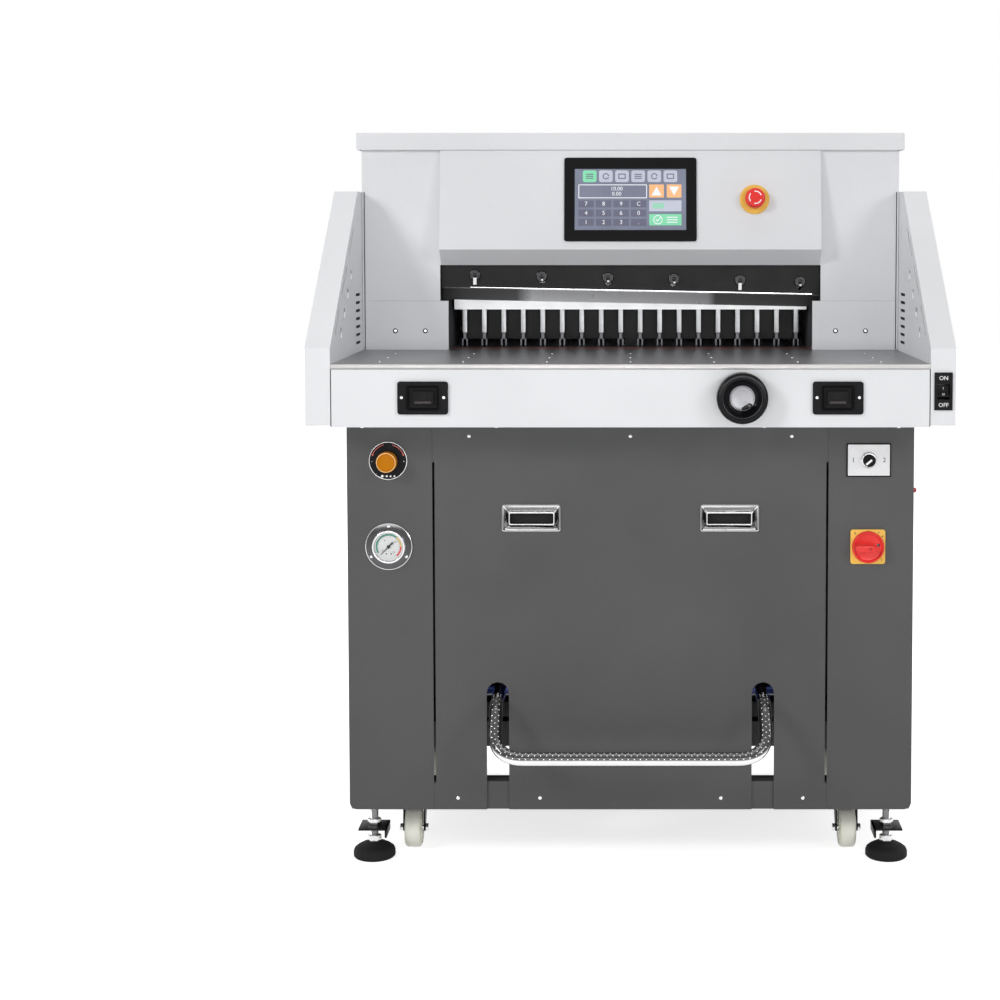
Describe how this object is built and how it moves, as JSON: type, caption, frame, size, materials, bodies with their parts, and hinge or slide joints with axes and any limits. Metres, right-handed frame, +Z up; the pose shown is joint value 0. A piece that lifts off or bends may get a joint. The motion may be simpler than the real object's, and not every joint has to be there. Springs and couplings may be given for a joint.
{
  "type": "hydraulic paper cutter",
  "caption": "Free-standing hydraulic paper cutter: cabinet stand with pedal, steel table, side wings, guarded knife and clamp, comb back gauge, touch panel and two-hand controls.",
  "frame": {"origin": "floor level under the centre of the machine's bounding box", "axes": "+Z up, +X to the operator's right, -Y towards the operator"},
  "size_m": [1.1826, 1.268, 1.396],
  "materials": {
    "white_paint": "satin",
    "grey_paint": "fine texture, satin",
    "cast_paint": "painted",
    "ground_steel": "ground",
    "dark_steel": "satin black",
    "bright_steel": "polished",
    "chrome": "polished",
    "silver_metal": "satin",
    "black_plastic": "satin",
    "screen_plastic": "gloss",
    "red_plastic": "satin",
    "yellow_plastic": "satin",
    "amber_plastic": "gloss",
    "rubber": "matte",
    "nylon": "satin",
    "power_pack_paint": "painted"
  },
  "bodies": {
    "machine": {"stand_frame": "grey_paint", "left_column_cover": "grey_paint", "right_column_cover": "grey_paint", "front_panel": "grey_paint", "rear_panel": "grey_paint", "power_pack": "power_pack_paint", "left_flush_handle": "chrome", "right_flush_handle": "chrome", "pressure_dial_plate": "black_plastic", "gauge_case": "chrome", "selector_plate": "silver_metal", "main_switch_plate": "yellow_plastic", "table": "ground_steel", "cutting_stick": "red_plastic", "table_skirt": "white_paint", "rear_guard": "white_paint", "left_button_plate": "black_plastic", "right_button_plate": "black_plastic", "left_wing": "white_paint", "right_wing": "white_paint", "rocker_plate": "black_plastic", "head_frame": "cast_paint", "left_cheek_cover": "white_paint", "right_cheek_cover": "white_paint", "upper_housing": "white_paint", "top_cover": "white_paint", "clamp_cylinder": "cast_paint", "control_hood": "white_paint", "touch_panel": "screen_plastic", "estop_base": "yellow_plastic", "front_left_foot": "rubber", "front_right_foot": "rubber", "rear_left_foot": "rubber", "rear_right_foot": "rubber"},
    "knife_slide_block": {"knife_slide_block": "bright_steel"},
    "knife_beam": {"knife_beam": "dark_steel", "knife": "bright_steel"},
    "knife_rod": {"knife_rod": "bright_steel"},
    "clamp_beam": {"clamp_beam": "silver_metal"},
    "back_gauge": {"back_gauge": "dark_steel"},
    "lead_screw": {"lead_screw": "bright_steel"},
    "handwheel": {"handwheel": "black_plastic"},
    "left_cut_button": {"left_cut_button": "black_plastic"},
    "right_cut_button": {"right_cut_button": "black_plastic"},
    "estop_button": {"estop_button": "red_plastic"},
    "rocker": {"rocker": "black_plastic"},
    "pressure_knob": {"pressure_knob": "amber_plastic"},
    "gauge_needle": {"gauge_needle": "black_plastic"},
    "selector_knob": {"selector_knob": "black_plastic"},
    "main_switch_handle": {"main_switch_handle": "red_plastic"},
    "side_button": {"side_button": "red_plastic"},
    "pedal": {"pedal": "chrome"},
    "front_left_caster_fork": {"front_left_caster_fork": "dark_steel"},
    "front_right_caster_fork": {"front_right_caster_fork": "dark_steel"},
    "rear_left_caster_fork": {"rear_left_caster_fork": "dark_steel"},
    "rear_right_caster_fork": {"rear_right_caster_fork": "dark_steel"},
    "front_left_caster_wheel": {"front_left_caster_wheel": "nylon"},
    "front_right_caster_wheel": {"front_right_caster_wheel": "nylon"},
    "rear_left_caster_wheel": {"rear_left_caster_wheel": "nylon"},
    "rear_right_caster_wheel": {"rear_right_caster_wheel": "nylon"}
  },
  "joints": [
    {"name": "knife_tilt", "type": "hinge", "parent": "machine", "child": "knife_slide_block", "pos_m": [-0.44, -0.15, 1.115], "axis": [0, -1, 0], "range_deg": [0, 1.15]},
    {"name": "knife_slide", "type": "slide", "parent": "knife_slide_block", "child": "knife_beam", "axis": [-0.3014, 0, -0.9535], "range_m": [0, 0.10632]},
    {"name": "knife_rod_slide", "type": "slide", "parent": "machine", "child": "knife_rod", "axis": [-0.328, 0, -0.9447], "range_m": [0, 0.08872]},
    {"name": "clamp_slide", "type": "slide", "parent": "machine", "child": "clamp_beam", "axis": [0, 0, -1], "range_m": [0, 0.0795]},
    {"name": "back_gauge_slide", "type": "slide", "parent": "machine", "child": "back_gauge", "axis": [0, 1, 0], "range_m": [0, 0.56]},
    {"name": "lead_screw_turn", "type": "hinge", "parent": "machine", "child": "lead_screw", "pos_m": [0, 0, 0.915], "axis": [0, -1, 0], "range_deg": [0, 10081]},
    {"name": "handwheel_turn", "type": "hinge", "parent": "machine", "child": "handwheel", "pos_m": [0.202, -0.6, 0.8965], "axis": [0, 1, 0], "continuous": true},
    {"name": "left_cut_button_press", "type": "slide", "parent": "machine", "child": "left_cut_button", "axis": [0, 1, 0], "range_m": [0, 0.004], "stiffness_N_per_m": 800, "springref_m": -0.003},
    {"name": "right_cut_button_press", "type": "slide", "parent": "machine", "child": "right_cut_button", "axis": [0, 1, 0], "range_m": [0, 0.004], "stiffness_N_per_m": 800, "springref_m": -0.003},
    {"name": "estop_press", "type": "slide", "parent": "machine", "child": "estop_button", "axis": [0, 0.9875, -0.1575], "range_m": [0, 0.005]},
    {"name": "rocker_tilt", "type": "hinge", "parent": "machine", "child": "rocker", "pos_m": [0.5683, -0.597, 0.907], "axis": [-1, 0, 0], "range_deg": [0, 20]},
    {"name": "pressure_knob_turn", "type": "hinge", "parent": "machine", "child": "pressure_knob", "pos_m": [-0.453, -0.505, 0.769], "axis": [0, 1, 0], "range_deg": [0, 1080]},
    {"name": "gauge_needle_turn", "type": "hinge", "parent": "machine", "child": "gauge_needle", "pos_m": [-0.453, -0.505, 0.607], "axis": [0, 1, 0], "range_deg": [0, 270], "stiffness_Nm_per_rad": 0.0002, "springref_deg": -28.65},
    {"name": "selector_turn", "type": "hinge", "parent": "machine", "child": "selector_knob", "pos_m": [0.446, -0.505, 0.77], "axis": [0, 1, 0], "range_deg": [0, 90]},
    {"name": "main_switch_turn", "type": "hinge", "parent": "machine", "child": "main_switch_handle", "pos_m": [0.445, -0.505, 0.607], "axis": [0, 1, 0], "range_deg": [0, 90]},
    {"name": "side_button_press", "type": "slide", "parent": "machine", "child": "side_button", "axis": [-1, 0, 0], "range_m": [0, 0.005], "stiffness_N_per_m": 600, "springref_m": -0.003},
    {"name": "pedal_press", "type": "hinge", "parent": "machine", "child": "pedal", "pos_m": [0, -0.415, 0.316], "axis": [1, 0, 0], "range_deg": [0, 12], "stiffness_Nm_per_rad": 30, "springref_deg": -17.19},
    {"name": "front_left_caster_swivel", "type": "hinge", "parent": "machine", "child": "front_left_caster_fork", "pos_m": [-0.42, -0.388, 0.1], "axis": [0, 0, 1], "continuous": true},
    {"name": "front_right_caster_swivel", "type": "hinge", "parent": "machine", "child": "front_right_caster_fork", "pos_m": [0.42, -0.388, 0.1], "axis": [0, 0, 1], "continuous": true},
    {"name": "rear_left_caster_swivel", "type": "hinge", "parent": "machine", "child": "rear_left_caster_fork", "pos_m": [-0.42, 0.014, 0.1], "axis": [0, 0, 1], "continuous": true},
    {"name": "rear_right_caster_swivel", "type": "hinge", "parent": "machine", "child": "rear_right_caster_fork", "pos_m": [0.42, 0.014, 0.1], "axis": [0, 0, 1], "continuous": true},
    {"name": "front_left_wheel_roll", "type": "hinge", "parent": "front_left_caster_fork", "child": "front_left_caster_wheel", "pos_m": [-0.42, -0.41, 0.0405], "axis": [1, 0, 0], "continuous": true},
    {"name": "front_right_wheel_roll", "type": "hinge", "parent": "front_right_caster_fork", "child": "front_right_caster_wheel", "pos_m": [0.42, -0.41, 0.0405], "axis": [1, 0, 0], "continuous": true},
    {"name": "rear_left_wheel_roll", "type": "hinge", "parent": "rear_left_caster_fork", "child": "rear_left_caster_wheel", "pos_m": [-0.42, 0.036, 0.0405], "axis": [1, 0, 0], "continuous": true},
    {"name": "rear_right_wheel_roll", "type": "hinge", "parent": "rear_right_caster_fork", "child": "rear_right_caster_wheel", "pos_m": [0.42, 0.036, 0.0405], "axis": [1, 0, 0], "continuous": true}
  ],
  "couplings": [
    {"joint": "knife_tilt", "follows": "knife_slide", "rad_per_m": 0.18878},
    {"joint": "knife_rod_slide", "follows": "knife_slide", "ratio": 0.83438},
    {"joint": "lead_screw_turn", "follows": "back_gauge_slide", "rad_per_m": 314.16}
  ]
}
